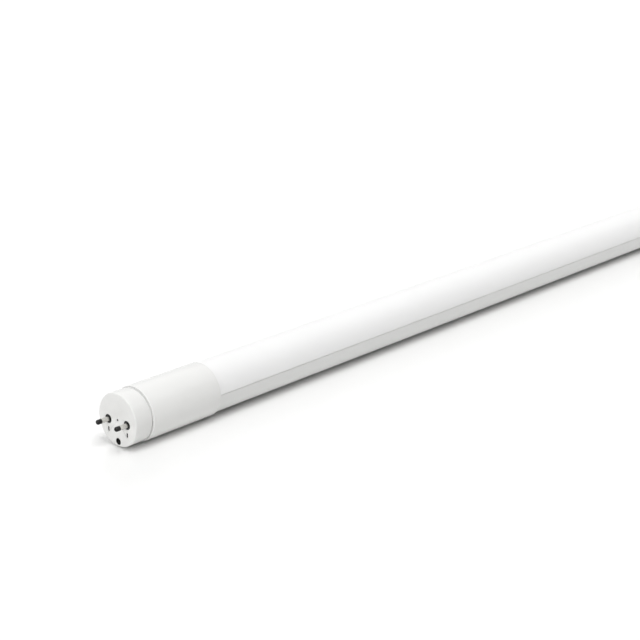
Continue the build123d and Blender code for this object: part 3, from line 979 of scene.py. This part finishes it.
def winding_finish():
    """Enamelled copper wire, turn on turn, with painted shade and highlight: darker copper in the grooves
    between turns and lighter copper on their crowns.
    """
    finish = Finish("copper_winding", Metallic=1.0)
    turns = finish.bands(0.25 * MM, "Z")
    # Painted shade and highlight: the colour follows the relief's bands, darker where the surface is low and
    # lighter where it is high
    finish.set("Base Color", finish.mixed(turns, (0.42, 0.16, 0.05), (0.66, 0.31, 0.12)))
    finish.set("Roughness", finish.scaled(turns, 0.38, 0.24, 0.0, 1.0))
    finish.relief(turns, 0.06 * MM)
    return finish.material


def can_finish():
    """Dark shrink sleeve on a metal can, with a pale stripe along one side."""
    finish = Finish("capacitor_sleeve")
    across = finish.maths("SUBTRACT", finish.part("Y"), node_middle("bulk_capacitor").y)
    stripe = finish.scaled(finish.maths("ABSOLUTE", across), 1.0, 0.0, 1.0 * MM, 1.1 * MM)
    grain = finish.noise(0.4 * MM)
    finish.set("Base Color", finish.mixed(stripe, (0.02, 0.02, 0.025), (0.45, 0.45, 0.44)))
    finish.set("Roughness", finish.scaled(grain, 0.22, 0.3))
    finish.relief(grain, 0.01 * MM)
    return finish.material


class LEDTUBE_OT_build_diffuser(bpy.types.Operator):
    """Build the translucent upper half of the tube"""

    bl_idname = "led_tube.build_diffuser"
    bl_label = "Build Diffuser"

    def execute(self, context):
        mesh = diffuser_mesh(context.scene.led_tube_profiles)
        frosted = diffuser_finish(context.scene.led_tube_colours)
        make_piece(mesh, near_end, "diffuser_shell", frosted, "diffuser")
        return {"FINISHED"}


class LEDTUBE_OT_build_heat_sink(bpy.types.Operator):
    """Build the painted metal lower half of the tube"""

    bl_idname = "led_tube.build_heat_sink"
    bl_label = "Build Heat Sink"

    def execute(self, context):
        scene = context.scene
        mesh = heat_sink_mesh(scene.led_tube_profiles, scene.led_tube_caps)
        coated = coating_finish(scene.led_tube_colours)
        make_piece(mesh, near_end, "heat_sink_extrusion", coated, "heat_sink")
        return {"FINISHED"}


class LEDTUBE_OT_build_ends(bpy.types.Operator):
    """Build the cap and the sleeve at each end"""

    bl_idname = "led_tube.build_ends"
    bl_label = "Build Caps and Sleeves"

    def execute(self, context):
        scene = context.scene
        profiles, caps = scene.led_tube_profiles, scene.led_tube_caps
        cap_white = cap_finish(scene.led_tube_colours, caps)
        sleeve_white = moulding_finish("glossy_white_moulding", scene.led_tube_colours).material
        for end, carry in ENDS:
            mesh = cap_mesh(profiles, caps)
            make_piece(mesh, carry, f"{end}_end_cap", cap_white, f"{end}_cap")
            mesh = sleeve_mesh(profiles)
            make_piece(mesh, carry, f"{end}_end_sleeve", sleeve_white, f"{end}_sleeve")
        return {"FINISHED"}


class LEDTUBE_OT_build_contacts(bpy.types.Operator):
    """Build the contact pins and their bushes"""

    bl_idname = "led_tube.build_contacts"
    bl_label = "Build Pins and Bushes"

    def execute(self, context):
        scene = context.scene
        caps = scene.led_tube_caps
        metal = pin_finish(scene.led_tube_colours, caps)
        black = bush_finish(scene.led_tube_colours)
        for end, carry in ENDS:
            for hand, side in (("left", 1), ("right", -1)):
                mesh = pin_mesh(caps, side)
                make_piece(mesh, carry, f"{end}_contact_{hand}", metal, f"{end}_pin_{hand}")
                mesh = bush_mesh(caps, side)
                make_piece(mesh, carry, f"{end}_bush_{hand}", black, f"{end}_pin_bush_{hand}")
        return {"FINISHED"}


class LEDTUBE_OT_build_screws(bpy.types.Operator):
    """Build the recessed screw in each cap"""

    bl_idname = "led_tube.build_screws"
    bl_label = "Build Cap Screws"

    def execute(self, context):
        steel = screw_finish(context.scene.led_tube_colours)
        for end, carry in ENDS:
            mesh = screw_mesh(context.scene.led_tube_caps)
            make_piece(mesh, carry, f"{end}_screw", steel, f"{end}_cap_screw")
        return {"FINISHED"}


class LEDTUBE_OT_dress_inside(bpy.types.Operator):
    """Give the boards, the driver's parts and the leads their finishes"""

    bl_idname = "led_tube.dress_inside"
    bl_label = "Dress Inner Parts"

    def execute(self, context):
        chip_pitch, chip_window = 13.0 * MM, 1.1 * MM
        for nodes, slot, tint, roughness, grain in INNER_PIECES:
            material = plain_finish(f"inner_{slot}", tint, roughness, grain, 0.12).material
            for node in nodes:
                dress(node, material)
        dress("led_board", led_board_finish())
        dress("driver_board", driver_board_finish())
        dress("led_chips", chip_finish(chip_pitch, chip_window))
        dress("transformer_winding", winding_finish())
        dress("bulk_capacitor", can_finish())
        return {"FINISHED"}


def seen_background(tree):
    """1 for rays that show the background: the camera's, and those by gloss and through glass."""
    path = tree.nodes.new("ShaderNodeLightPath")
    total = path.outputs["Is Camera Ray"]
    for name in ("Is Glossy Ray", "Is Transmission Ray"):
        joined = tree.nodes.new("ShaderNodeMath")
        joined.operation = "MAXIMUM"
        tree.links.new(total, joined.inputs[0])
        tree.links.new(path.outputs[name], joined.inputs[1])
        total = joined.outputs["Value"]
    return total


def build_world(studio):
    """Weak light from all round, and plain white where the background is seen."""
    world = bpy.data.worlds.new("pale_studio")
    bpy.context.scene.world = world
    world.use_nodes = True
    tree = world.node_tree
    tree.nodes.clear()
    mix = tree.nodes.new("ShaderNodeMixShader")
    for place, strength in ((1, studio.ambient), (2, 1.0)):
        white = tree.nodes.new("ShaderNodeBackground")
        white.inputs["Color"].default_value = (1.0, 1.0, 1.0, 1.0)
        white.inputs["Strength"].default_value = strength
        tree.links.new(white.outputs["Background"], mix.inputs[place])
    output = tree.nodes.new("ShaderNodeOutputWorld")
    tree.links.new(seen_background(tree), mix.inputs["Fac"])
    tree.links.new(mix.outputs["Shader"], output.inputs["Surface"])


def floor_finish(colours):
    """A slightly glossy floor that is seen white and throws back a little less light than it shows."""
    finish = Finish("studio_floor")
    seen, bounced = colours.floor, colours.floor_bounce
    finish.set("Base Color", finish.mixed(seen_background(finish.tree), bounced, seen))
    cloud = finish.noise(50 * MM, 2.0)
    finish.set("Roughness", finish.scaled(cloud, 0.24, 0.28, 0.0, 1.0))
    return finish.material


def build_floor(studio, colours):
    mesh = bmesh.new()
    bmesh.ops.create_grid(mesh, x_segments=1, y_segments=1, size=studio.floor_size / 2)
    data = mesh_data(mesh, "floor")
    data.materials.append(floor_finish(colours))
    floor = linked_object("floor", data)


# Directions that the lamps shine from
OVERHEAD_FROM = Vector((0.0, 0.1, 1.0))
KEY_FROM = Vector((0.0, -0.27, 1.0))
END_FROM = Vector((-1.0, -0.2, 0.3))


def build_lamp(name, direction, irradiance, softness):
    """A wide lamp far away, which shines from a direction."""
    data = bpy.data.lights.new(name, "SUN")
    data.energy = irradiance
    data.angle = softness
    lamp = linked_object(name, data)
    lamp.rotation_euler = direction.to_track_quat("Z", "Y").to_euler()


def build_camera(studio):
    data = bpy.data.cameras.new("camera")
    data.sensor_width = 36.0
    data.lens = studio.camera_lens
    data.clip_start = 0.02
    data.clip_end = 100.0
    camera = linked_object("camera", data)
    place = (near_face_x - studio.camera_back, -studio.camera_side, axis_height + studio.camera_rise)
    camera.location = place
    camera.rotation_euler = (math.pi / 2 - studio.camera_pitch, 0.0, studio.camera_yaw - math.pi / 2)
    bpy.context.scene.camera = camera


class LEDTUBE_OT_build_studio(bpy.types.Operator):
    """Build the floor, the lamps and the camera"""

    bl_idname = "led_tube.build_studio"
    bl_label = "Build Studio"

    def execute(self, context):
        studio, colours = context.scene.led_tube_studio, context.scene.led_tube_colours
        build_world(studio)
        build_floor(studio, colours)
        build_lamp("overhead_lamp", OVERHEAD_FROM, studio.overhead_light, studio.overhead_softness)
        build_lamp("key_lamp", KEY_FROM, studio.key_light, studio.key_softness)
        build_lamp("end_lamp", END_FROM, studio.end_light, studio.end_softness)
        build_camera(studio)
        context.scene.view_settings.view_transform = "Standard"
        return {"FINISHED"}


BUILDERS = (
    LEDTUBE_OT_build_studio,
    LEDTUBE_OT_build_diffuser,
    LEDTUBE_OT_build_heat_sink,
    LEDTUBE_OT_build_ends,
    LEDTUBE_OT_build_contacts,
    LEDTUBE_OT_build_screws,
    LEDTUBE_OT_dress_inside,
)

SETTINGS = (
    ("led_tube_profiles", LedTubeProfileSizes),
    ("led_tube_caps", LedTubeCapSizes),
    ("led_tube_colours", LedTubeColours),
    ("led_tube_studio", LedTubeStudio),
)


class LEDTUBE_PT_sidebar(bpy.types.Panel):
    """Settings and builders of the LED tube"""

    bl_idname = "LEDTUBE_PT_sidebar"
    bl_label = "LED Tube"
    bl_space_type = "VIEW_3D"
    bl_region_type = "UI"
    bl_category = "LED Tube"

    def draw(self, context):
        column = self.layout.column()
        for setting, group in SETTINGS:
            values = getattr(context.scene, setting)
            for name in group.__annotations__:
                column.prop(values, name)
            column.separator()
        for builder in BUILDERS:
            column.operator(builder.bl_idname)


CLASSES = tuple(group for _, group in SETTINGS) + BUILDERS + (LEDTUBE_PT_sidebar,)


def register():
    for item in CLASSES:
        bpy.utils.register_class(item)
    for setting, group in SETTINGS:
        setattr(bpy.types.Scene, setting, bpy.props.PointerProperty(type=group))


def unregister():
    for setting, _ in SETTINGS:
        delattr(bpy.types.Scene, setting)
    for item in reversed(CLASSES):
        bpy.utils.unregister_class(item)


def main():
    register()
    for builder in BUILDERS:
        group, name = builder.bl_idname.split(".")
        getattr(getattr(bpy.ops, group), name)()


if __name__ == "__main__":
    main()
